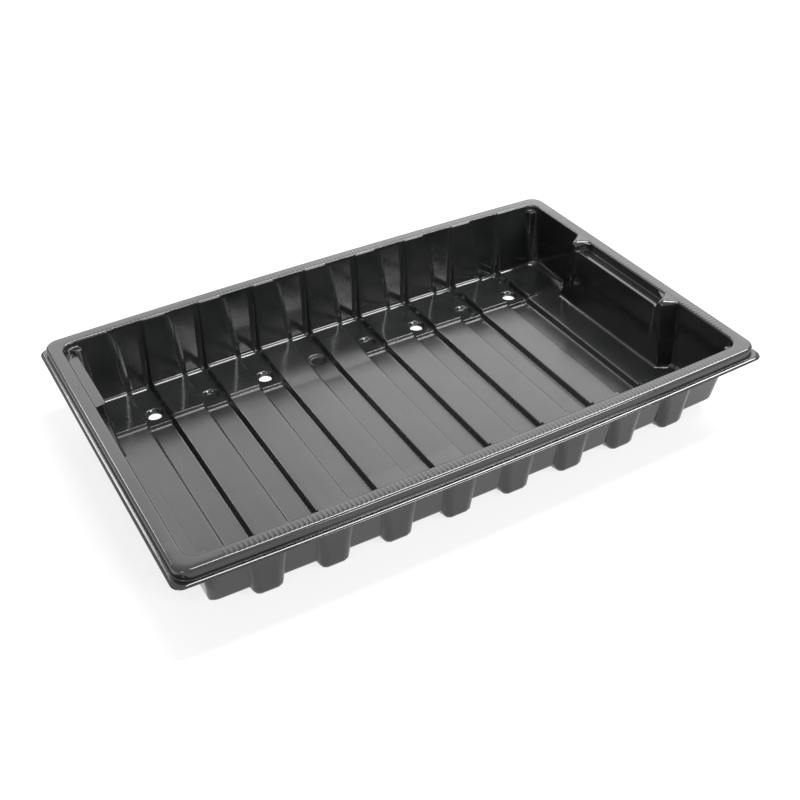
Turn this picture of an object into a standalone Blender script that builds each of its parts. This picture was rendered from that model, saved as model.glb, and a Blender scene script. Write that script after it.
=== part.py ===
# Seed tray: one vacuum-formed sheet with a turned-down rim, a fluted basin and a channelled floor.
# Metres, +Z up. The origin is under the middle of the tray, on the surface it stands on.
# +X is the end with one middle ledge, -X the end with two corner ledges.
import math

import bmesh
import bpy

# Overall size, measured over the lip, and the thickness of the formed sheet
LENGTH = 0.380
WIDTH = 0.240
HEIGHT = 0.052
SHEET = 0.0008

# Rim, skirt and lip
LIP_REACH = 0.003
LIP_DROP = 0.0068
LIP_CORNER = 0.006
RIM_WIDTH = 0.0086
RIM_CORNER = 0.010
RIM_ROUND = 0.0018
MOUTH_FLARE = 0.0009
MOUTH_FLARE_DEPTH = 0.0012
# The long sides bow outwards by this much at mid-length
SIDE_BOW = 0.0034

# Basin walls: how far the foot of each wall stands inside its top
SIDE_LEAN = 0.0096
END_LEAN = 0.0084
BASIN_CORNER = 0.008
WALL_FOOT_ROUND = 0.0025

# Floor: raised strips between lower channels, and a raised pad along each long wall
CHANNELS = 8
CHANNEL_PITCH = 0.0389
CHANNEL_WIDTH = 0.0175
CHANNEL_DEPTH = 0.004
CHANNEL_LEAN = 0.0013
FLOOR_CORNER = 0.0018
FLOOR_ROUND = 0.0012
PAD_RISE = 0.0021
PAD_REACH = 0.054
PAD_STEP_LEAN = 0.0006

# Flutes: each channel goes on up the wall and widens to the rim
FLUTE_WIDTH = 0.0162
FLUTE_SPREAD = 0.0036
FLUTE_LEAN = 0.0056
FLUTE_FADE = 0.0002
FLUTE_CORNER = 0.003
FLUTE_FOOT_ROUND = 0.0018

# Drain dimples, one in each channel pad, and the channels whose dimples are punched through
DIMPLE_INSET = 0.0435
DIMPLE_RADIUS = 0.0056
DIMPLE_LEAN = 0.0006
DRAIN_RADIUS = 0.00425
DRAINED_CHANNELS = (0, 2, 5, 7)

# Stacking blocks. The right end steps in at its middle and the left end at its corners,
# so that a tray turned end for end stands on the ledges of the one below.
LEDGE_DROP = 0.0058
LEDGE_EDGE_ROUND = 0.001
BLOCK_LEAN = 0.0036
BLOCK_CORNER = 0.0025
MIDDLE_LEDGE_WIDTH = 0.0092
MIDDLE_LEDGE_HALF = 0.052
CORNER_LEDGE_WIDTH = 0.0080
CORNER_LEDGE_START = 0.0434
CORNER_SIDE_LEAN = 0.005
# Full-height towers at both ends of the middle ledge
TOWER_START = 0.0440
TOWER_END = 0.0555
TOWER_SIDE_LEAN = 0.003
TOWER_PROUD = 0.0008
TOWER_CORNER = 0.004
# Small shelves in the four corners of the basin
LUG_DROP = 0.0044
LUG_DEPTH = 0.0085
LEFT_LUG_LENGTH = 0.0135
RIGHT_LUG_LENGTH = 0.0085
LUG_LEAN = 0.001
LUG_CORNER = 0.002

# Mesh fineness
CORNER_STEPS = 6
SMALL_CORNER_STEPS = 2
BOW_STEPS = 10
ROUND_STEPS = 2
HOLE_SIDES = 20
# How far a cutter runs past what it cuts
CLEAR = 0.004

# Places that follow from the sizes above
rim_half_x = LENGTH / 2 - LIP_REACH
rim_half_y = WIDTH / 2 - LIP_REACH
basin_half_x = rim_half_x - RIM_WIDTH
basin_half_y = rim_half_y - RIM_WIDTH
lip_top = HEIGHT - LIP_DROP
channel_floor = SHEET
strip_floor = channel_floor + CHANNEL_DEPTH
channel_pad = channel_floor + PAD_RISE
strip_pad = strip_floor + PAD_RISE
pad_edge_y = rim_half_y - PAD_REACH
dimple_y = rim_half_y - DIMPLE_INSET
ledge_top = HEIGHT - LEDGE_DROP
lug_top = HEIGHT - LUG_DROP
channel_places = [(i - (CHANNELS - 1) / 2) * CHANNEL_PITCH for i in range(CHANNELS)]


def clear_scene():
    for item in list(bpy.data.objects):
        bpy.data.objects.remove(item, do_unlink=True)


def new_collection(name, parent):
    group = bpy.data.collections.new(name)
    parent.children.link(group)
    return group


def bow_at(x, y):
    """How far a point moves outwards in Y where the long sides bow."""
    return SIDE_BOW * (1 - (x / rim_half_x) ** 2) * y / rim_half_y


def outline(rect, radius, steps, side_steps):
    """Rectangle (x0, x1, y0, y1) with rounded corners and extra points along its X sides."""
    x0, x1, y0, y1 = rect
    centres = ((x1 - radius, y1 - radius), (x0 + radius, y1 - radius),
               (x0 + radius, y0 + radius), (x1 - radius, y0 + radius))
    points = []
    for corner, (cx, cy) in enumerate(centres):
        for step in range(steps + 1):
            angle = math.pi / 2 * (corner + step / steps)
            points.append((cx + radius * math.cos(angle), cy + radius * math.sin(angle)))
        if corner % 2 == 0:
            start_x, side_y = points[-1]
            run = centres[corner + 1][0] - start_x
            points += [(start_x + run * step / side_steps, side_y) for step in range(1, side_steps)]
    return points


def centred(half_x, half_y):
    return -half_x, half_x, -half_y, half_y


def flipped(rect, end, side):
    """The rectangle, given for the +X +Y corner, moved to the corner on the given end and side."""
    xs = sorted((rect[0] * end, rect[1] * end))
    ys = sorted((rect[2] * side, rect[3] * side))
    return (*xs, *ys)


def grown(rect, amounts):
    """Rectangle with each of its four sides moved outwards by its own amount."""
    return [side + way * amount for side, way, amount in zip(rect, (-1, 1, -1, 1), amounts)]


def finish_solid(name, bm, group):
    bmesh.ops.recalc_face_normals(bm, faces=bm.faces)
    mesh = bpy.data.meshes.new(name)
    bm.to_mesh(mesh)
    bm.free()
    solid = bpy.data.objects.new(name, mesh)
    group.objects.link(solid)
    return solid


def loft(name, sections, group):
    """Closed solid through a list of (points, z) sections that all have as many points."""
    bm = bmesh.new()
    rings = []
    for points, z in sections:
        ring = [bm.verts.new((x, y + bow_at(x, y), z)) for x, y in points]
        rings.append([bm.edges.new((ring[i - 1], ring[i])) for i in range(len(ring))])
    for lower, upper in zip(rings, rings[1:]):
        bmesh.ops.bridge_loops(bm, edges=lower + upper)
    bmesh.ops.holes_fill(bm, edges=rings[0] + rings[-1])
    return finish_solid(name, bm, group)


def drafted(name, low, high, z_low, z_high, group, z_start=None, z_end=None, skin=0.0, side=1,
            corner=0.0, steps=SMALL_CORNER_STEPS, side_steps=1, foot=0.0, brow=0.0):
    """Block whose sides run through the low and the high rectangle, from z_start to z_end.

    A skin sets every face off by that much: down, and outwards (side 1) or inwards (side -1).
    The foot and the brow round its lowest and its highest edges.
    """
    slopes = [abs(b - a) / (z_high - z_low) for a, b in zip(low, high)]
    growth = [side * skin * (math.hypot(1, slope) - slope) for slope in slopes]
    radius = corner + side * skin
    z_start = z_low - skin if z_start is None else z_start
    z_end = z_high - skin if z_end is None else z_end
    levels = [(z_start, 0.0)]
    if foot:
        turns = [math.pi / 2 * step / ROUND_STEPS for step in range(ROUND_STEPS + 1)]
        levels = [(z_start + foot * (1 - math.cos(turn)), foot * (1 - math.sin(turn))) for turn in turns]
    if brow:
        turns = [math.pi / 2 * step / ROUND_STEPS for step in range(ROUND_STEPS + 1)]
        levels += [(z_end - brow * (1 - math.sin(turn)), brow * (1 - math.cos(turn))) for turn in turns]
    else:
        levels.append((z_end, 0.0))
    sections = []
    for z, inset in levels:
        share = (z + skin - z_low) / (z_high - z_low)
        rect = [a + (b - a) * share for a, b in zip(low, high)]
        rect = grown(rect, [amount - inset for amount in growth])
        sections.append((outline(rect, radius - inset, steps, side_steps), z))
    return loft(name, sections, group)


def round_post(name, x, y, low_radius, high_radius, z_low, z_high, group):
    """Upright cone or cylinder whose centre follows the bow."""
    bm = bmesh.new()
    bmesh.ops.create_cone(bm, cap_ends=True, segments=HOLE_SIDES, radius1=low_radius,
                          radius2=high_radius, depth=z_high - z_low)
    bmesh.ops.translate(bm, verts=bm.verts, vec=(x, y + bow_at(x, y), (z_low + z_high) / 2))
    return finish_solid(name, bm, group)


def combine(solid, operand, operation):
    """Boolean of the solid with one object or with all objects of a collection."""
    step = solid.modifiers.new(operand.name, "BOOLEAN")
    step.operation = operation
    step.solver = "EXACT"
    if isinstance(operand, bpy.types.Collection):
        step.operand_type = "COLLECTION"
        step.collection = operand
    else:
        step.object = operand


def add_floor(name, skin, z_end, group):
    """Everything below the wide cup, and the flutes beside it."""
    foot_y = pad_edge_y - PAD_STEP_LEAN
    drafted(name + "_trench", centred(basin_half_x - END_LEAN, foot_y),
            centred(basin_half_x - END_LEAN, pad_edge_y), strip_floor, strip_pad, group,
            z_end=strip_pad + 2 * WALL_FOOT_ROUND, skin=skin, corner=FLOOR_CORNER,
            side_steps=BOW_STEPS, foot=FLOOR_ROUND + skin)
    for channel, x in enumerate(channel_places):
        low = CHANNEL_WIDTH / 2 - CHANNEL_LEAN
        high = CHANNEL_WIDTH / 2
        drafted(f"{name}_channel_{channel}", (x - low, x + low, -foot_y, foot_y),
                (x - high, x + high, -foot_y, foot_y), channel_floor, strip_floor, group,
                z_end=strip_pad, skin=skin, corner=SHEET)
        low = FLUTE_WIDTH / 2
        high = low + FLUTE_SPREAD
        low_y = basin_half_y - FLUTE_LEAN
        high_y = basin_half_y - FLUTE_FADE
        drafted(f"{name}_flute_{channel}", (x - low, x + low, -low_y, low_y),
                (x - high, x + high, -high_y, high_y), channel_pad, HEIGHT, group, z_end=z_end,
                skin=skin, corner=FLUTE_CORNER, foot=FLUTE_FOOT_ROUND + skin)
        slope = DIMPLE_LEAN / PAD_RISE
        growth = skin * (math.hypot(1, slope) - slope)
        for y in (-dimple_y, dimple_y):
            round_post(f"{name}_dimple_{channel}", x, y, DIMPLE_RADIUS - DIMPLE_LEAN + growth,
                       DIMPLE_RADIUS + slope * (strip_pad - channel_pad) + growth,
                       channel_floor - skin, strip_pad - skin, group)


def add_blocks(name, skin, group):
    """The stacking blocks, towers and lugs that stand up inside the basin, from below the tray."""
    brow = 0.0 if skin else LEDGE_EDGE_ROUND
    back_x = basin_half_x + CLEAR
    back_y = basin_half_y + CLEAR
    face_x = basin_half_x - MIDDLE_LEDGE_WIDTH
    drafted(name + "_middle", (face_x - BLOCK_LEAN, back_x, -MIDDLE_LEDGE_HALF, MIDDLE_LEDGE_HALF),
            (face_x, back_x, -MIDDLE_LEDGE_HALF, MIDDLE_LEDGE_HALF), 0.0, ledge_top, group,
            z_start=-CLEAR, skin=skin, side=-1, corner=BLOCK_CORNER, brow=brow)
    tower_x = face_x - TOWER_PROUD
    inner_x = basin_half_x - CORNER_LEDGE_WIDTH
    for side in (-1, 1):
        low = (tower_x - BLOCK_LEAN, back_x, TOWER_START - TOWER_SIDE_LEAN, TOWER_END + TOWER_SIDE_LEAN)
        high = (tower_x, back_x, TOWER_START, TOWER_END)
        drafted(f"{name}_tower_{side}", flipped(low, 1, side), flipped(high, 1, side), 0.0, ledge_top,
                group, z_start=-CLEAR, z_end=HEIGHT + CLEAR, skin=skin, side=-1, corner=TOWER_CORNER)
        low = (inner_x - BLOCK_LEAN, back_x, CORNER_LEDGE_START - CORNER_SIDE_LEAN, back_y)
        high = (inner_x, back_x, CORNER_LEDGE_START, back_y)
        drafted(f"{name}_corner_{side}", flipped(low, -1, side), flipped(high, -1, side), 0.0, ledge_top,
                group, z_start=-CLEAR, skin=skin, side=-1, corner=BLOCK_CORNER, brow=brow)
        for end, length in ((-1, LEFT_LUG_LENGTH), (1, RIGHT_LUG_LENGTH)):
            lug_x = basin_half_x - length
            lug_y = basin_half_y - LUG_DEPTH
            low = (lug_x - LUG_LEAN, back_x, lug_y - LUG_LEAN, back_y)
            drafted(f"{name}_lug_{end}_{side}", flipped(low, end, side),
                    flipped((lug_x, back_x, lug_y, back_y), end, side), 0.0, lug_top, group,
                    z_start=-CLEAR, skin=skin, side=-1, corner=LUG_CORNER, brow=brow)


def basin(name, skin, z_end, parent):
    """The basin as a solid: its space with no skin, or the outside of its walls with one."""
    cup = drafted(name, centred(basin_half_x - END_LEAN, basin_half_y - SIDE_LEAN),
                  centred(basin_half_x, basin_half_y), strip_pad, HEIGHT, parent, z_end=z_end, skin=skin,
                  corner=BASIN_CORNER, steps=CORNER_STEPS, side_steps=BOW_STEPS,
                  foot=WALL_FOOT_ROUND + skin)
    additions = new_collection(name + "_additions", parent)
    drafted(name + "_mouth", centred(basin_half_x - MOUTH_FLARE, basin_half_y - MOUTH_FLARE),
            centred(basin_half_x + MOUTH_FLARE, basin_half_y + MOUTH_FLARE),
            HEIGHT - 2 * MOUTH_FLARE_DEPTH, HEIGHT, additions, z_end=z_end, skin=skin,
            corner=BASIN_CORNER, steps=CORNER_STEPS, side_steps=BOW_STEPS)
    add_floor(name, skin, z_end, additions)
    blocks = new_collection(name + "_blocks", parent)
    add_blocks(name, skin, blocks)
    combine(cup, additions, "UNION")
    combine(cup, blocks, "DIFFERENCE")
    return cup


def black_plastic():
    material = bpy.data.materials.new("black_plastic")
    material.use_nodes = True
    shader = material.node_tree.nodes["Principled BSDF"]
    shader.inputs["Base Color"].default_value = (0.012, 0.012, 0.013, 1.0)
    shader.inputs["Metallic"].default_value = 0.0
    shader.inputs["Roughness"].default_value = 0.28
    return material


def build_tray():
    scene_root = bpy.context.scene.collection
    parts = new_collection("seed_tray", scene_root)
    cutters = new_collection("cutters", scene_root)
    skirt_foot = lip_top - SHEET / 2
    tray = drafted("tray_shell", centred(rim_half_x, rim_half_y), centred(rim_half_x, rim_half_y),
                   skirt_foot, HEIGHT, parts, corner=RIM_CORNER, steps=CORNER_STEPS,
                   side_steps=BOW_STEPS, brow=RIM_ROUND)
    lip = drafted("lip", centred(LENGTH / 2, WIDTH / 2), centred(LENGTH / 2, WIDTH / 2),
                  lip_top - SHEET, lip_top, cutters, corner=LIP_CORNER, steps=CORNER_STEPS,
                  side_steps=BOW_STEPS)
    hollow = centred(rim_half_x - SHEET, rim_half_y - SHEET)
    under_rim = drafted("under_rim", hollow, hollow, 0.0, HEIGHT - SHEET, cutters,
                        corner=RIM_CORNER - SHEET, steps=CORNER_STEPS, side_steps=BOW_STEPS,
                        brow=RIM_ROUND - SHEET)
    basin_outside = basin("basin_outside", SHEET, HEIGHT - SHEET / 2, cutters)
    basin_space = basin("basin_space", 0.0, HEIGHT + CLEAR, cutters)
    drains = new_collection("drains", cutters)
    for channel in DRAINED_CHANNELS:
        for y in (-dimple_y, dimple_y):
            round_post(f"drain_{channel}", channel_places[channel], y, DRAIN_RADIUS, DRAIN_RADIUS,
                       -CLEAR, channel_pad, drains)
    combine(tray, lip, "UNION")
    combine(tray, under_rim, "DIFFERENCE")
    combine(tray, basin_outside, "UNION")
    combine(tray, basin_space, "DIFFERENCE")
    combine(tray, drains, "DIFFERENCE")
    for item in cutters.all_objects:
        item.hide_render = True
        item.display_type = "WIRE"
    tray.data.materials.append(black_plastic())
    tray.data.shade_smooth()
    return tray


clear_scene()
build_tray()
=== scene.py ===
import math

import bmesh
import bpy
import numpy as np
from mathutils import Matrix, Vector


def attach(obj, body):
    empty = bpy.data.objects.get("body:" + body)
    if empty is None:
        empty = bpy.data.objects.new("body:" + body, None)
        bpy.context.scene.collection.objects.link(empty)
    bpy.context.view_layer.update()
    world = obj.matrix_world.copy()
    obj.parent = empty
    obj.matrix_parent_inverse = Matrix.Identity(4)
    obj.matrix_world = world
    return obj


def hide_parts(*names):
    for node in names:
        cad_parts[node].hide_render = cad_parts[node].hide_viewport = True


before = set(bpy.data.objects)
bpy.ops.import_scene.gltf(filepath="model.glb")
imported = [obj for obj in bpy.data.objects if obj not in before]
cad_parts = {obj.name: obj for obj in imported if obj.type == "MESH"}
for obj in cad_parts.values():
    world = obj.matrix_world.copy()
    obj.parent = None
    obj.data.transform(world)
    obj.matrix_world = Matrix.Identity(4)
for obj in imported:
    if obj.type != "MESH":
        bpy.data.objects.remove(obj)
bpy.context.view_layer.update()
print("frame loaded")

# Sizes of the tray are in millimetres, in the frame's axes
millimetre = 0.001

shell = {
    "sheet": 0.8, "bow": 3.4, "bowHalfX": 187.0, "bowHalfY": 117.0, "sharpAngle": 62,
    "stripFloor": 4.8, "channelDrop": 4.0, "padRise": 2.1,
    "footZ": 6.9, "topZ": 52.0, "sideFoot": 98.8, "sideLean": 9.6, "footShare": 0.6, "footShareStep": 0.1,
    "leftFoot": 170.0, "leftLean": 8.4, "rightFoot": 175.9, "rightLean": 2.5,
    "fluteFoot": 102.8, "fluteLean": 6.3, "fluteZ": 2.9, "fluteHalf": 8.1, "fluteSpread": 3.6,
    "pitch": 38.9, "channels": 8, "corner": 8.0,
    "sideRound": 2.5, "fluteRound": 3.0, "endRound": 5.0, "blockRound": 2.0,
    "dimpleY": 73.9, "drained": (0, 2, 5, 7), "holeRings": 3,
    # the middle strips climb to the pads on a ramp, and the right end's step fades into one
    "ramp": (52.0, 88.0), "rampFrom": -50.2, "rampTo": 11.3, "endRamp": (56.0, 84.0), "endFade": 0.6,
}
# A channel's side from the strip down to the bottom: half width and depth share on the floor and the wall
sideFloorX = (9.5, 9.0, 8.65, 7.6, 7.2, 6.7)
sideFloorDepth = (0.0, 0.04, 0.17, 0.86, 0.965, 1.0)
sideEdgeDepth = (0.0, 0.03, 0.14, 0.56, 0.84, 1.0)
sideWallX = (1.5, 0.45, 0.0, -0.5, -1.7, -3.9)
sideWallDepth = (0.0, 0.05, 0.25, 0.62, 0.9, 1.0)
# Rings round a dimple: radius, share of its depth, and how far the ring is a circle
dimpleRings = (0.0, 2.0, 3.6, 4.25, 4.9, 5.6, 6.2, 6.9)
dimpleSink = (1.0, 1.0, 1.0, 1.0, 0.97, 0.08, 0.0, 0.0)
dimpleRoundness = (1.0, 1.0, 1.0, 1.0, 1.0, 1.0, 0.6, 0.0)
# The step up to the pads: distance from the middle line, share of the rise
padStep = ((61.3, 0.0), (61.55, 0.03), (61.75, 0.13), (62.4, 0.87), (62.6, 0.97), (62.85, 1.0))

blocks = {
    "ledge": 45.4, "lugTop": 47.6, "brow": 0.55, "crease": 0.6,
    "rightFace": 166.0, "rightLean": 5.2, "towerFace": 166.6, "towerLean": 2.9,
    "leftFace": 166.8, "leftLean": 4.1, "leftBlock": 38.4, "leftBlockLean": 5.6,
    "notch": 39.9, "notchRise": 0.2, "notchLow": 0.05,
    "towerSide": 53.9, "towerSideLean": 6.1, "earRound": 3.2,
    "lugY": 101.2, "leftLugX": 165.2, "rightLugX": 171.2, "lugLean": 1.0,
    "pivot": (150.0, 80.0), "lugRound": 30.0,
    # widths at which a ledge begins and is full, the rise per ring where there is none, and a tolerance
    "leastLedge": 0.05, "fullLedge": 2.0, "plainRise": 0.25, "slack": 0.01,
}
# Sides of the notch, the towers and the left block in plan:
# distance along the wall, share of depth, and for the first two the share of the mouth's roll
notchSide = ((-1.4, 1.0, 0.0), (-0.6, 0.96, 0.2), (0.0, 0.84, 0.5),
             (1.9, 0.24, 0.7), (2.6, 0.07, 0.5), (3.4, 0.0, 0.2))
towerSide = ((-1.2, 1.0, 0.0), (-0.3, 0.97, 0.2), (0.4, 0.87, 0.5),
             (4.6, 0.13, 0.6), (5.3, 0.03, 0.4), (6.2, 0.0, 0.0))
leftSide = ((-1.0, 0.0), (-0.3, 0.05), (0.0, 0.15), (0.12, 0.62), (0.75, 0.9), (2.5, 1.0))

rim = {
    "top": 51.6, "mouthRound": 1.1, "halfX": 187.0, "halfY": 117.0, "corner": 9.2, "round": 1.8,
    "crown": 0.05, "skirt": 45.8, "fold": 0.6,
    # out from the rim, corner radius, height
    "lip": ((1.3, 7.8, 45.18), (2.0, 6.9, 45.02), (2.55, 6.3, 44.75), (2.9, 6.05, 44.38), (3.0, 6.0, 43.95)),
}

# Cells of the floor's grid, and rings up the wall
cornerCells = 6
stripCells = 4
middleCells = 3
wallRings = 6
endShares = (0.35, 0.7, 0.775, 0.85, 0.925, 1.0)
tailShares = (0.5, 1.0)
endCells = len(endShares) + cornerCells
outerCells = len(tailShares) + cornerCells
sideSteps = len(sideFloorX)
lastRing = len(dimpleRings) - 1
ringShares = [radius / dimpleRings[-1] for radius in dimpleRings]
centres = [(k - (shell["channels"] - 1) / 2) * shell["pitch"] for k in range(shell["channels"])]


def mix(a, b, share):
    return a + (b - a) * share


# The angles of a quarter circle in equal steps
def quarterTurns(steps, first=1):
    return [math.pi / (2 * steps) * k for k in range(first, steps + 1)]


# Columns from the last channel to the outermost one of an end
def endColumns(end):
    return [("end", end, s) for s in endShares] + [("corner", end, m) for m in reversed(range(cornerCells))]


# Columns run from -X to +X, rows from the middle out to each long side
columns = endColumns(-1)[::-1]
for index, centre in enumerate(centres):
    columns += [("side", centre, -1, k) for k in range(sideSteps)]
    columns += [("bottom", centre, -s) for s in reversed(ringShares[1:lastRing])]
    columns += [("bottom", centre, s) for s in ringShares[:lastRing]]
    columns += [("side", centre, 1, k) for k in reversed(range(sideSteps))]
    if index < len(centres) - 1:
        columns += [("strip", centre, centres[index + 1], k / stripCells) for k in range(1, stripCells)]
columns += endColumns(1)
halfRows = [("mid", k / middleCells) for k in range(middleCells)]
halfRows += [("notch", k) for k in range(len(notchSide))] + [("flat", 0)]
halfRows += [("tower", k) for k in range(len(towerSide))] + [("step", k) for k in range(len(padStep))]
halfRows += [("dimple", k) for k in range(-lastRing, lastRing + 1)] + [("tail", s) for s in tailShares]
halfRows += [("corner", m) for m in reversed(range(cornerCells))]
rows = [(-1, *row) for row in reversed(halfRows[1:])] + [(1, *row) for row in halfRows]
lastColumn, lastRow = len(columns) - 1, len(rows) - 1


def heightShare(z):
    return (z - shell["footZ"]) / (shell["topZ"] - shell["footZ"])


def plainX(end, z):
    if end > 0:
        return shell["rightFoot"] + shell["rightLean"] * heightShare(z)
    return shell["leftFoot"] + shell["leftLean"] * heightShare(z)


def plainY(z):
    return shell["sideFoot"] + shell["sideLean"] * heightShare(z)


def fluteShare(z):
    return (z - shell["fluteZ"]) / (shell["topZ"] - shell["fluteZ"])


def fluteDepth(z):
    return max(0.0, shell["fluteFoot"] + shell["fluteLean"] * fluteShare(z) - plainY(z))


def leaning(face, lean, z):
    return blocks[face] + blocks[lean] * z / shell["topZ"]


# Half widths of a channel's side from the strip to the bottom, from floor (0) to wall (1)
def sideWidths(z, wallShare):
    half = shell["fluteHalf"] + shell["fluteSpread"] * fluteShare(z)
    return [mix(floor, half + wall, wallShare) for floor, wall in zip(sideFloorX, sideWallX)]


def columnX(column, widths, cornerStart):
    kind = column[0]
    if kind == "side":
        return column[1] + column[2] * widths[column[3]]
    if kind == "bottom":
        return column[1] + column[2] * widths[-1]
    if kind == "strip":
        return mix(column[1] + widths[0], column[2] - widths[0], column[3])
    return column[1] * mix(centres[-1] + widths[0], cornerStart, column[2])


# Distance of a row from the middle line, on the wall of one end and at a height
def rowY(row, end, z, cornerStart, out=0.0):
    kind, k = row[1], row[2]
    above = z - blocks["ledge"]
    if kind == "step":
        return padStep[k][0]
    if kind == "dimple":
        return shell["dimpleY"] + math.copysign(dimpleRings[abs(k)], k)
    if kind in ("tail", "corner"):
        return mix(shell["dimpleY"] + dimpleRings[-1], cornerStart, k)
    if end < 0:
        start = leaning("leftBlock", "leftBlockLean", z)
        if kind == "mid":
            return (start + leftSide[0][0]) * k
        if kind == "notch":
            return start + leftSide[k][0]
        # the left end has no towers, so their rows are spread evenly up to the pads
        place = 1 if kind == "flat" else k + 2
        return mix(start + leftSide[-1][0], padStep[0][0], place / (len(towerSide) + 2))
    start = blocks["notch"] + (blocks["notchRise"] * above if above > 0 else -blocks["notchLow"] * above)
    stop = blocks["towerSide"] - blocks["towerSideLean"] * z / shell["topZ"]
    roll = max(out, 0.0)
    if kind == "mid":
        return (start + notchSide[0][0]) * k
    if kind == "notch":
        return start + notchSide[k][0] + notchSide[k][2] * roll
    if kind == "tower":
        return stop + towerSide[k][0] - towerSide[k][2] * roll
    return (start + notchSide[-1][0] + stop + towerSide[0][0]) / 2


def columnDepth(column, shares):
    if column[0] == "side":
        return shares[column[3]]
    return 1.0 if column[0] == "bottom" else 0.0


def climb(y, start, stop):
    return min(1.0, max(0.0, (y - start) / (stop - start)))


# Share of the pads' rise: a step on most strips, a long ramp on the middle ones
def padShare(column, row, y):
    kind, k = row[1], row[2]
    stepped = padStep[k][1] if kind == "step" else float(kind in ("dimple", "tail", "corner"))
    if column[0] in ("end", "corner"):
        fade = shell["endFade"] * (column[2] if column[0] == "end" else 1.0) if column[1] > 0 else 0.0
        return mix(stepped, climb(y, *shell["endRamp"]), fade)
    place = columnX(column, sideWidths(shell["stripFloor"], 0.0), 0.0)
    return climb(y, *shell["ramp"]) if shell["rampFrom"] < place < shell["rampTo"] else stepped


# Moves a point of the plain outline back onto the lug or the block that stands in the corner
def clipCorner(x, y, end, z, inset):
    px, py = blocks["pivot"]
    if x <= px or y <= py:
        return x, y, False
    lean = blocks["lugLean"] * z / blocks["lugTop"]
    lugX = (blocks["leftLugX"] if end < 0 else blocks["rightLugX"]) + lean - inset
    reachX = (lugX - px) / (x - px)
    reachY = (blocks["lugY"] + lean - inset - py) / (y - py)
    power = blocks["lugRound"]
    onLug = (reachX ** power + reachY ** power) ** (1 / power)
    share = min(1.0, onLug)
    if end < 0 and z <= blocks["ledge"] + blocks["slack"]:
        face = (leaning("leftFace", "leftLean", z) - inset - px) / (x - px)
        if face < onLug:
            share = min(share, face)
            onLug = math.inf
    return px + (x - px) * share, py + (y - py) * share, onLug < 1.0


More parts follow.
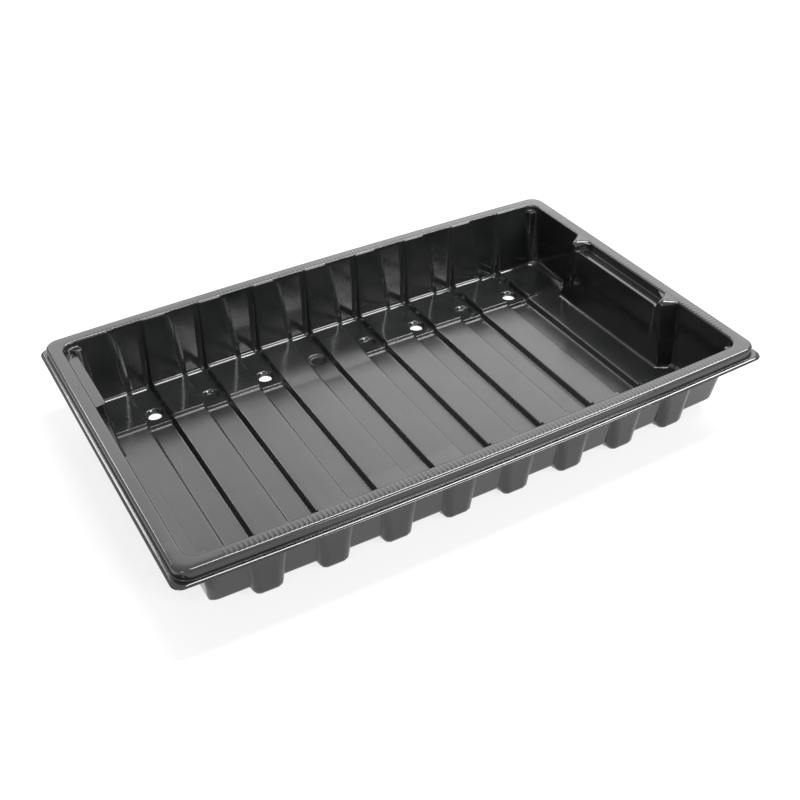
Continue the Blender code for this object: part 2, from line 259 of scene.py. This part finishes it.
# One place on the edge of the floor, from which the wall, the rim and the lip rise
class Station:
    def __init__(self, kind, item, end, side):
        self.kind, self.item, self.end, self.side = kind, item, end, side
        self.turn = None
        self.mouth = rim["mouthRound"]
        plainRound = shell["endRound"] if end > 0 else shell["sideRound"]
        self.floor = shell["stripFloor"] + shell["padRise"]
        self.round = plainRound
        if kind == "corner":
            onLong, m = item
            quarter = math.pi / 4 * m / cornerCells
            self.turn = math.pi / 4 + quarter if onLong else math.pi / 4 - quarter
            self.round = mix(shell["sideRound"], plainRound, math.cos(self.turn) ** 2)
        elif kind == "long":
            self.floor -= shell["channelDrop"] * columnDepth(item, sideEdgeDepth)
            self.round = mix(shell["sideRound"], shell["fluteRound"], columnDepth(item, sideWallDepth))
        else:
            y = self.wall(shell["footZ"], False)[1]
            self.floor -= shell["padRise"] * (1 - padShare(("end", end, 1.0), item, y))
            self.round = mix(shell["blockRound"], plainRound, self.endWall(1.0, True, 0.0, 0.0))
            self.mouth = mix(self.mouth, blocks["earRound"], self.endWall(0.0, False, 1.0, 0.0))

    # Picks or blends the plain wall, the towers and the block between or beside them at this row
    def endWall(self, plain, low, tower, block):
        kind, k = self.item[1], self.item[2]
        inner = block if low else plain
        if self.end < 0:
            if kind in ("mid", "tail"):
                return plain
            return mix(plain, inner, leftSide[k][1]) if kind == "notch" else inner
        if kind == "mid":
            return inner
        if kind == "notch":
            return mix(tower, inner, notchSide[k][1])
        if kind == "flat":
            return tower
        return mix(plain, tower, towerSide[k][1]) if kind == "tower" else plain

    # The plan position on a rounded rectangle, set out from the rim's own
    def outline(self, out, radius):
        halfX, halfY = rim["halfX"] + out, rim["halfY"] + out
        if self.kind == "corner":
            x = halfX - radius + radius * math.cos(self.turn)
            y = halfY - radius + radius * math.sin(self.turn)
            return x, y
        if self.kind == "long":
            return abs(columnX(self.item, sideWidths(shell["topZ"], 1.0), halfX - radius)), halfY
        return halfX, rowY(self.item, self.end, shell["topZ"], halfY - radius)

    # The plan position on the inside of the wall, below or above the ledges, set outwards
    def wall(self, z, low, out=0.0, wallShare=1.0):
        radius = shell["corner"] + out
        halfX, halfY = plainX(self.end, z) + out, plainY(z) + out
        if self.kind == "long":
            x = abs(columnX(self.item, sideWidths(z, wallShare), halfX - radius))
            y = halfY + fluteDepth(z) * columnDepth(self.item, sideWallDepth)
            clipped = self.item[0] == "end"
        elif self.kind == "corner":
            x = halfX - radius + radius * math.cos(self.turn)
            y = halfY - radius + radius * math.sin(self.turn)
            clipped = True
        else:
            tower = leaning("towerFace", "towerLean", z) + out
            face = ("rightFace", "rightLean") if self.end > 0 else ("leftFace", "leftLean")
            x = self.endWall(halfX, low, tower, leaning(*face, z) + out)
            y = rowY(self.item, self.end, z, halfY - radius, out)
            clipped = self.item[1] == "tail"
        if clipped and low:
            return clipCorner(x, y, self.end, z, -out)
        return x, y, False

    # The points from the edge of the floor over wall, ledge and rim to the edge of the lip
    def path(self):
        points = []
        for k, turn in enumerate(quarterTurns(4, 0)):
            wallShare = shell["footShare"] + shell["footShareStep"] * k
            inset = self.round * (math.sin(turn) - 1)
            x, y, _ = self.wall(self.floor + self.round, True, inset, wallShare)
            points.append((x, y, self.floor + self.round * (1 - math.cos(turn))))
        foot, ledge = points[-1][2], blocks["ledge"]
        if self.wall(ledge, True)[2]:
            ledge = blocks["lugTop"]
        browFoot = ledge - blocks["brow"]
        for k in range(1, wallRings + 1):
            z = mix(foot, browFoot, k / wallRings)
            points.append((*self.wall(z, True)[:2], z))
        width = float(np.hypot(*np.subtract(self.wall(ledge, False)[:2], self.wall(ledge, True)[:2])))
        isLedge = width > blocks["leastLedge"]
        wide = min(1.0, width / blocks["fullLedge"])
        # brow and crease as shares of the ledge's width, at most half and a third
        edge = min(blocks["brow"] / width, 1 / 2) if isLedge else 1 / 2
        crease = min(blocks["crease"] / width, 1 / 3) if isLedge else 1 / 3

        def across(share, z):
            low = self.wall(min(z, ledge), True) if isLedge else self.wall(z, False)
            return (*mix(np.array(low[:2]), np.array(self.wall(z, False)[:2]), share), z)

        for turn in quarterTurns(3):
            points.append(across(edge * (1 - math.cos(turn)), browFoot + blocks["brow"] * math.sin(turn)))
        for k in (1, 2):
            z = ledge + blocks["plainRise"] * k * (1 - wide)
            points.append(across(mix(edge, 1 - crease, k / 2), z))
        flat = points[-1][2]
        for k, turn in enumerate(quarterTurns(2), 1):
            z = flat + mix(blocks["plainRise"] * k, blocks["crease"] * (1 - math.cos(turn)), wide)
            points.append(across(1 - crease * (1 - math.sin(turn)), z))
        for k in (1, 2):
            z = mix(flat + blocks["crease"], rim["top"] - self.mouth, k / 2)
            points.append((*self.wall(z, False)[:2], z))
        for turn in quarterTurns(4):
            z = rim["top"] - self.mouth * (1 - math.sin(turn))
            points.append((*self.wall(z, False, self.mouth * (1 - math.cos(turn)))[:2], z))
        inner = np.array(points[-1][:2])
        outer = np.array(self.outline(-rim["round"], rim["corner"] - rim["round"]))
        for k in (1, 2, 3):
            points.append((*mix(inner, outer, k / 3), rim["top"] + rim["crown"] * math.sin(math.pi * k / 3)))
        for turn in quarterTurns(5):
            inset = rim["round"] * (math.sin(turn) - 1)
            z = rim["top"] - rim["round"] * (1 - math.cos(turn))
            points.append((*self.outline(inset, rim["corner"] + inset), z))
        points.append((*self.outline(0.0, rim["corner"]), rim["skirt"]))
        for turn in quarterTurns(3):
            out = rim["fold"] * (1 - math.cos(turn))
            z = rim["skirt"] - rim["fold"] * math.sin(turn)
            points.append((*self.outline(out, rim["corner"] + out), z))
        points += [(*self.outline(out, radius), z) for out, radius, z in rim["lip"]]
        return points


# The station at a place on the edge of the grid
def makeStation(i, j):
    column, row = columns[i], rows[j]
    side = 1 if j > lastRow / 2 else -1
    end = 1 if i > lastColumn / 2 else -1
    if j in (0, lastRow):
        if column[0] == "corner":
            return Station("corner", (True, column[2]), end, side)
        return Station("long", column, end, side)
    if row[1] == "corner":
        return Station("corner", (False, row[2]), end, side)
    return Station("end", row, end, side)


edgePlaces = [(i, 0) for i in range(lastColumn + 1)]
edgePlaces += [(lastColumn, j) for j in range(1, lastRow + 1)]
edgePlaces += [(i, lastRow) for i in reversed(range(lastColumn))]
edgePlaces += [(0, j) for j in reversed(range(1, lastRow))]
paths = {}
for place in edgePlaces:
    station = makeStation(*place)
    paths[place] = [(station.end * x, station.side * y, z) for x, y, z in station.path()]
ringCount = len(paths[(0, 0)])
print("paths", len(paths), "rings", ringCount)


# How many cells a row of the corner squares lies from the pads
def cellsOut(row):
    return tailShares.index(row[2]) + 1 if row[1] == "tail" else outerCells - row[2]


# Where a vertex of the floor's grid goes
def floorPoint(i, j):
    column, row = columns[i], rows[j]
    side = row[0]
    if (i, j) in paths:
        return paths[(i, j)][0]
    widths = sideWidths(shell["stripFloor"], 0.0)
    edgeX = centres[-1] + widths[0]
    edgeY = shell["dimpleY"] + dimpleRings[-1]
    cornerX, cornerY = shell["leftFoot"] - shell["corner"], shell["sideFoot"] - shell["corner"]
    sunk = shell["channelDrop"] * columnDepth(column, sideFloorDepth)

    def raised(x, y):
        return x, y, shell["stripFloor"] - sunk + shell["padRise"] * padShare(column, row, abs(y))

    isEnd = column[0] in ("end", "corner")
    outerRow = row[1] in ("tail", "corner")
    if not isEnd:
        x = columnX(column, widths, cornerX)
        if not outerRow:
            share = (x + edgeX) / (2 * edgeX)
            height = shell["stripFloor"]
            leftY, rightY = rowY(row, -1, height, cornerY), rowY(row, 1, height, cornerY)
            return raised(x, side * mix(leftY, rightY, share))
        top = paths[(i, lastRow if side > 0 else 0)][0]
        share = cellsOut(row) / outerCells
        return raised(mix(x, top[0], share ** 2), mix(side * edgeY, top[1], share))
    end = column[1]
    order = endShares.index(column[2]) + 1 if column[0] == "end" else endCells - column[2]
    across = order / endCells
    border, far = (lastColumn if end > 0 else 0), (lastRow if side > 0 else 0)
    if not outerRow:
        edge = paths[(border, j)][0]
        start = side * rowY(row, end, shell["stripFloor"], cornerY)
        return raised(mix(end * edgeX, edge[0], across), mix(start, edge[1], across))
    # the corner square is filled in between its four edges
    up = cellsOut(row) / outerCells
    lowLeft = np.array((end * edgeX, side * edgeY))
    lowRight = np.array(paths[(border, far - side * outerCells)][0][:2])
    highLeft = np.array(paths[(border - end * endCells, far)][0][:2])
    highRight = np.array(paths[(border, far)][0][:2])
    topEdge, sideEdge = np.array(paths[(i, far)][0][:2]), np.array(paths[(border, j)][0][:2])
    flat = mix(mix(lowLeft, lowRight, across), topEdge, up)
    flat += mix(mix(lowLeft, highLeft, up), sideEdge, across)
    flat -= mix(mix(lowLeft, lowRight, across), mix(highLeft, highRight, across), up)
    return raised(flat[0], flat[1])


# Turns the square rings of the grid round a dimple into circles, and sinks them
def dimplePoint(column, row, point):
    if column[0] == "side" and column[3] == sideSteps - 1:
        kx = lastRing * column[2]
    elif column[0] == "bottom":
        kx = int(math.copysign(ringShares.index(abs(column[2])), column[2]))
    else:
        return point, None
    ky = row[2]
    ring = max(abs(kx), abs(ky))
    sunk = point[2] - shell["padRise"] * padShare(column, row, abs(point[1])) * dimpleSink[ring]
    if ring == 0:
        return (column[1], row[0] * shell["dimpleY"], sunk), 0
    turn = min(abs(kx), abs(ky)) / ring * math.pi / 4
    dx, dy = math.cos(turn) * dimpleRings[ring], math.sin(turn) * dimpleRings[ring]
    if abs(ky) > abs(kx):
        dx, dy = dy, dx
    x = mix(point[0], column[1] + math.copysign(dx, kx), dimpleRoundness[ring])
    y = mix(point[1], row[0] * (shell["dimpleY"] + math.copysign(dy, ky)), dimpleRoundness[ring])
    return (x, y, sunk), ring


# A place in metres, with the long sides bowed outwards
def bowed(x, y, z):
    grow = shell["bow"] * (1 - (x / shell["bowHalfX"]) ** 2) / shell["bowHalfY"]
    return x * millimetre, (y + y * grow) * millimetre, z * millimetre


# Makes a smooth object of a bmesh and puts it in the scene
def addPiece(name, bm):
    for face in bm.faces:
        face.smooth = True
    mesh = bpy.data.meshes.new(name)
    bm.to_mesh(mesh)
    bm.free()
    piece = bpy.data.objects.new(name, mesh)
    bpy.context.scene.collection.objects.link(piece)
    return piece


# Extrudes the open edge of the sheet to the next ring of the paths
def ridge(edges, ringVerts, ring):
    made = bmesh.ops.extrude_edge_only(bm, edges=edges)["geom"]
    fresh = {item for item in made if isinstance(item, bmesh.types.BMVert)}
    placed = {}
    for place, old in ringVerts.items():
        placed[place] = next(e.other_vert(old) for e in old.link_edges if e.other_vert(old) in fresh)
        placed[place].co = bowed(*paths[place][ring])
    return placed


def edgesOf(ringVerts):
    neighbours = [(edgePlaces[n - 1], place) for n, place in enumerate(edgePlaces)]
    return [bm.edges.get((ringVerts[before], ringVerts[place])) for before, place in neighbours]


bm = bmesh.new()
bmesh.ops.create_grid(bm, x_segments=lastColumn, y_segments=lastRow, size=1.0)
grid = {}
holes = []
for vert in bm.verts:
    i, j = round((vert.co.x + 1) / 2 * lastColumn), round((vert.co.y + 1) / 2 * lastRow)
    grid[(i, j)] = vert
for (i, j), vert in grid.items():
    point = floorPoint(i, j)
    if rows[j][1] == "dimple":
        point, ring = dimplePoint(columns[i], rows[j], point)
        inHole = ring is not None and ring < shell["holeRings"]
        if inHole and centres.index(columns[i][1]) in shell["drained"]:
            holes.append(vert)
    vert.co = bowed(*point)
print("floor", len(bm.verts), "columns", lastColumn, "rows", lastRow)

ringVerts = {place: grid[place] for place in edgePlaces}
for ring in range(1, ringCount):
    ringVerts = ridge(edgesOf(ringVerts), ringVerts, ring)
bmesh.ops.delete(bm, geom=holes, context="VERTS")
bmesh.ops.recalc_face_normals(bm, faces=bm.faces)
middle = min(bm.faces, key=lambda face: face.calc_center_median().length)
if middle.normal.z < 0:
    bmesh.ops.reverse_faces(bm, faces=bm.faces)
tray = addPiece("tray", bm)
thick = tray.modifiers.new("sheet", "SOLIDIFY")
thick.thickness = shell["sheet"] * millimetre
thick.offset = -1.0
thick.use_even_offset = True
solid = bpy.data.meshes.new_from_object(tray.evaluated_get(bpy.context.evaluated_depsgraph_get()))
tray.modifiers.clear()
tray.data = solid
solid.name = "tray"
solid.set_sharp_from_angle(angle=math.radians(shell["sharpAngle"]))
solid.calc_loop_triangles()
print("tray triangles", len(solid.loop_triangles))
normals = tray.modifiers.new("normals", "WEIGHTED_NORMAL")
normals.keep_sharp = True

# The rim's cross ribs: low swellings on bands that lie in the sheet, rounded over both edges of the rim
ribs = {
    "pitch": 2.7, "steps": 6, "relief": 0.14, "leftShare": 0.4, "sharpness": 0.8,
    "sink": 0.05, "depth": 0.45, "longReach": 161.5, "endReach": 92.0, "weld": 1e-7,
}
# Across a band: share of the flat, turn over the edge in degrees, share of the relief
ribAcross = ((0.0, -50, 0.0), (0.0, -25, 0.5), (0.0, -5, 1.0), (0.35, 0, 1.0), (0.7, 0, 1.0), (0.95, 0, 1.0),
             (1.0, 6, 0.6), (1.0, 14, 0.0))


# One side's ribs: a closed band, its section lofted along the rim
def ribBand(name, alongX, side, reach, relief):
    inner = plainY(rim["top"]) if alongX else plainX(side, rim["top"])
    inner += rim["mouthRound"]
    outer = (rim["halfY"] if alongX else rim["halfX"]) - rim["round"]
    count = round(2 * reach / ribs["pitch"])
    steps = count * ribs["steps"]
    bm = bmesh.new()
    around = len(ribAcross) + 2
    bmesh.ops.create_grid(bm, x_segments=steps, y_segments=around, size=1.0)
    for vert in bm.verts:
        n = round((vert.co.x + 1) / 2 * steps)
        k = round((vert.co.y + 1) / 2 * around) % around
        along = mix(-reach, reach, n / steps)
        if k < len(ribAcross):
            share, turn, weight = ribAcross[k]
            wave = (0.5 - 0.5 * math.cos(2 * math.pi * n / ribs["steps"])) ** ribs["sharpness"]
            lift = relief * weight * wave - ribs["sink"]
            roundness = rim["mouthRound"] if share < 0.5 else rim["round"]
            turn = math.radians(turn)
            across = mix(inner, outer, share) + (roundness + lift) * math.sin(turn)
            crown = rim["crown"] * math.sin(math.pi * share)
            z = rim["top"] + (roundness + lift) * math.cos(turn) - roundness + crown
        else:
            across = outer if k == len(ribAcross) else inner
            z = rim["top"] - ribs["depth"]
        x, y = (along, side * across) if alongX else (side * across, along)
        vert.co = bowed(x, y, z)
    bmesh.ops.remove_doubles(bm, verts=bm.verts, dist=ribs["weld"])
    bmesh.ops.holes_fill(bm, edges=[edge for edge in bm.edges if edge.is_boundary])
    bmesh.ops.recalc_face_normals(bm, faces=bm.faces)
    return addPiece(name, bm)


bands = [
    ribBand("ribsFront", True, -1, ribs["longReach"], ribs["relief"]),
    ribBand("ribsBack", True, 1, ribs["longReach"], ribs["relief"]),
    ribBand("ribsRight", False, 1, ribs["endReach"], ribs["relief"]),
    ribBand("ribsLeft", False, -1, ribs["endReach"], ribs["leftShare"] * ribs["relief"]),
]
print("ribs", sum(len(band.data.polygons) for band in bands))

plastic = {
    "dark": (0.0075, 0.008, 0.0082), "light": (0.0125, 0.013, 0.0128), "dust": (0.16, 0.16, 0.155),
    "wallRoughness": 0.12, "floorRoughness": 0.2, "ior": 1.58,
    # noise: scale and detail, then the stretch of it that counts and what it gives
    "mottling": (30.0, 3.0), "mottlingRange": (0.35, 0.65, 0.0, 1.0),
    "specks": (900.0, 1.0), "specksRange": (0.79, 0.83, 0.0, 0.7),
    "smears": (55.0, 4.0), "smearsRange": (0.3, 0.7, -0.025, 0.035),
    "waves": (42.0, 2.0), "waveStrength": 0.5, "waveHeight": 0.0002,
    # metres: where the gloss begins and over what length, above the floor and along it
    "aboveFloor": (0.009, 0.004), "onPads": (0.0605, 0.003), "atFoot": (0.088, 0.005),
    "atEnd": (0.148, 0.008), "besideRamp": 0.003,
}


# Glossy black sheet: faint mottling, a duller floor, a little dust and slight waves
def blackPlastic():
    material = bpy.data.materials.new("blackPlastic")
    material.use_nodes = True
    nodes, links = material.node_tree.nodes, material.node_tree.links
    shader = nodes["Principled BSDF"]
    shader.inputs["IOR"].default_value = plastic["ior"]
    place = nodes.new("ShaderNodeTexCoord").outputs["Object"]

    def noise(scale, detail):
        node = nodes.new("ShaderNodeTexNoise")
        node.inputs["Scale"].default_value = scale
        node.inputs["Detail"].default_value = detail
        links.new(place, node.inputs["Vector"])
        return node.outputs["Fac"]

    def ranged(value, low, high, toLow, toHigh):
        node = nodes.new("ShaderNodeMapRange")
        for name, number in (("From Min", low), ("From Max", high), ("To Min", toLow), ("To Max", toHigh)):
            node.inputs[name].default_value = number
        links.new(value, node.inputs["Value"])
        return node.outputs["Result"]

    def blend(share, low, high):
        node = nodes.new("ShaderNodeMix")
        node.data_type = "RGBA"
        links.new(share, node.inputs[0])
        for socket, colour in ((node.inputs[6], low), (node.inputs[7], high)):
            if isinstance(colour, tuple):
                socket.default_value = (*colour, 1.0)
            else:
                links.new(colour, socket)
        return node.outputs[2]

    def combined(operation, first, second):
        node = nodes.new("ShaderNodeMath")
        node.operation = operation
        for socket, value in zip(node.inputs, (first, second)):
            if isinstance(value, float):
                socket.default_value = value
            else:
                links.new(value, socket)
        return node.outputs[0]

    def glossier(distance, start, fade):
        return ranged(distance, start, start + fade, plastic["floorRoughness"], plastic["wallRoughness"])

    mottling = ranged(noise(*plastic["mottling"]), *plastic["mottlingRange"])
    mottled = blend(mottling, plastic["dark"], plastic["light"])
    specks = ranged(noise(*plastic["specks"]), *plastic["specksRange"])
    links.new(blend(specks, mottled, plastic["dust"]), shader.inputs["Base Color"])
    where = nodes.new("ShaderNodeSeparateXYZ")
    links.new(place, where.inputs[0])
    aside = combined("ABSOLUTE", where.outputs["Y"], 0.0)
    rampMiddle = (shell["rampFrom"] + shell["rampTo"]) / 2 * millimetre
    rampHalf = (shell["rampTo"] - shell["rampFrom"]) / 2 * millimetre
    fromRamp = combined("ABSOLUTE", combined("SUBTRACT", where.outputs["X"], rampMiddle), 0.0)
    # The stepped pads are glossy, the ramps between them are as dull as the strips
    onPads = glossier(aside, *plastic["onPads"])
    rough = combined("MAXIMUM", onPads, glossier(fromRamp, rampHalf, plastic["besideRamp"]))
    rough = combined("MINIMUM", rough, glossier(aside, *plastic["atFoot"]))
    rough = combined("MINIMUM", rough, glossier(where.outputs["X"], *plastic["atEnd"]))
    rough = combined("MINIMUM", rough, glossier(where.outputs["Z"], *plastic["aboveFloor"]))
    smears = ranged(noise(*plastic["smears"]), *plastic["smearsRange"])
    links.new(combined("ADD", rough, smears), shader.inputs["Roughness"])
    bump = nodes.new("ShaderNodeBump")
    bump.inputs["Strength"].default_value = plastic["waveStrength"]
    bump.inputs["Distance"].default_value = plastic["waveHeight"]
    links.new(noise(*plastic["waves"]), bump.inputs["Height"])
    links.new(bump.outputs["Normal"], shader.inputs["Normal"])
    return material


black = blackPlastic()
for piece in [tray] + bands:
    piece.data.materials.clear()
    piece.data.materials.append(black)
    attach(piece, "root")
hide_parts("tray_shell")
print("plastic on", 1 + len(bands), "pieces")

# Studio: a pale floor, a pale surround and soft lights, in metres.
# Directions are degrees from +Y towards +X, and upwards
studio = {
    "floorSize": 30.0, "floorColour": (0.93, 0.93, 0.93), "floorRoughness": 0.9, "floorWhite": 0.8,
    "surround": 0.5, "target": (0.0, 0.0, 0.03),
    "camera": (-0.275383, -0.510103, 0.444949), "yaw": 0.49856, "pitch": 0.64494, "roll": -0.03034,
    "focalPixels": 1138.5, "imageWidth": 800, "sensor": 36.0,
    # name: azimuth, elevation, azimuth of the long side, distance, width, height, radiance
    "lights": {
        "backSoftbox": (27.0, 34.0, 117.0, 2.6, 3.0, 1.4, 1.5),
        "backRight": (42.0, 34.0, 132.0, 2.5, 1.5, 1.4, 0.6),
        "backLeft": (-12.0, 40.0, 78.0, 2.4, 0.35, 0.5, 12.0),
        "topStrip": (80.0, 66.0, 90.0, 1.7, 1.6, 0.42, 24.0),
        "frontRight": (154.0, 26.0, 64.0, 1.9, 0.8, 0.45, 20.0),
        "frontLeft": (235.0, 24.0, 145.0, 1.9, 0.4, 0.4, 12.0),
    },
}


# A rectangular light round the target, whose power gives it the radiance asked for
def softLight(name, azimuth, elevation, run, distance, width, height, radiance):
    data = bpy.data.lights.new(name, "AREA")
    data.shape = "RECTANGLE"
    data.size, data.size_y = width, height
    data.energy = radiance * math.pi * width * height
    light = bpy.data.objects.new(name, data)
    bpy.context.scene.collection.objects.link(light)
    a, e = math.radians(azimuth), math.radians(elevation)
    away = Vector((math.sin(a) * math.cos(e), math.cos(a) * math.cos(e), math.sin(e)))
    along = Vector((math.sin(math.radians(run)), math.cos(math.radians(run)), 0.0))
    along = (along - along.dot(away) * away).normalized()
    turned = Matrix((along, away.cross(along), away)).transposed().to_4x4()
    turned.translation = Vector(studio["target"]) + away * distance
    light.matrix_world = turned


for name, values in studio["lights"].items():
    softLight(name, *values)
print("lights", len(studio["lights"]))

bm = bmesh.new()
bmesh.ops.create_grid(bm, x_segments=1, y_segments=1, size=studio["floorSize"] / 2)
floor = addPiece("studioFloor", bm)


# 1 for rays that show a surface to the camera, straight or through the plastic's gloss, else 0
def seenDirectly(nodes, links):
    rays = nodes.new("ShaderNodeLightPath")
    largest = rays.outputs["Is Camera Ray"]
    for kind in ("Is Glossy Ray", "Is Transmission Ray"):
        node = nodes.new("ShaderNodeMath")
        node.operation = "MAXIMUM"
        links.new(largest, node.inputs[0])
        links.new(rays.outputs[kind], node.inputs[1])
        largest = node.outputs[0]
    return largest


paper = bpy.data.materials.new("paper")
paper.use_nodes = True
nodes, links = paper.node_tree.nodes, paper.node_tree.links
matt = nodes["Principled BSDF"]
matt.inputs["Base Color"].default_value = (*studio["floorColour"], 1.0)
matt.inputs["Roughness"].default_value = studio["floorRoughness"]
white = nodes.new("ShaderNodeEmission")
share = nodes.new("ShaderNodeMath")
share.operation = "MULTIPLY"
share.inputs[1].default_value = studio["floorWhite"]
links.new(seenDirectly(nodes, links), share.inputs[0])
both = nodes.new("ShaderNodeMixShader")
links.new(share.outputs[0], both.inputs[0])
links.new(matt.outputs[0], both.inputs[1])
links.new(white.outputs[0], both.inputs[2])
links.new(both.outputs[0], nodes["Material Output"].inputs["Surface"])
floor.data.materials.append(paper)

world = bpy.data.worlds.new("surround")
bpy.context.scene.world = world
world.use_nodes = True
nodes, links = world.node_tree.nodes, world.node_tree.links
background = nodes["Background"]
background.inputs["Color"].default_value = (1.0, 1.0, 1.0, 1.0)
strength = nodes.new("ShaderNodeMapRange")
strength.inputs["To Min"].default_value = studio["surround"]
strength.inputs["To Max"].default_value = 1.0
links.new(seenDirectly(nodes, links), strength.inputs["Value"])
links.new(strength.outputs["Result"], background.inputs["Strength"])

cameraData = bpy.data.cameras.new("camera")
cameraData.sensor_width = studio["sensor"]
cameraData.lens = studio["focalPixels"] / studio["imageWidth"] * studio["sensor"]
camera = bpy.data.objects.new("camera", cameraData)
bpy.context.scene.collection.objects.link(camera)
bpy.context.scene.camera = camera
yaw, pitch, roll = studio["yaw"], studio["pitch"], studio["roll"]
ahead = np.array((math.sin(yaw) * math.cos(pitch), math.cos(yaw) * math.cos(pitch), -math.sin(pitch)))
right = np.cross(ahead, (0, 0, 1))
right /= np.linalg.norm(right)
up = np.cross(right, ahead)
cameraX = math.cos(roll) * right + math.sin(roll) * up
cameraY = -math.sin(roll) * right + math.cos(roll) * up
turned = Matrix((cameraX, cameraY, -ahead)).transposed().to_4x4()
turned.translation = studio["camera"]
camera.matrix_world = turned
bpy.context.scene.view_settings.view_transform = "Standard"
print("studio and camera set")
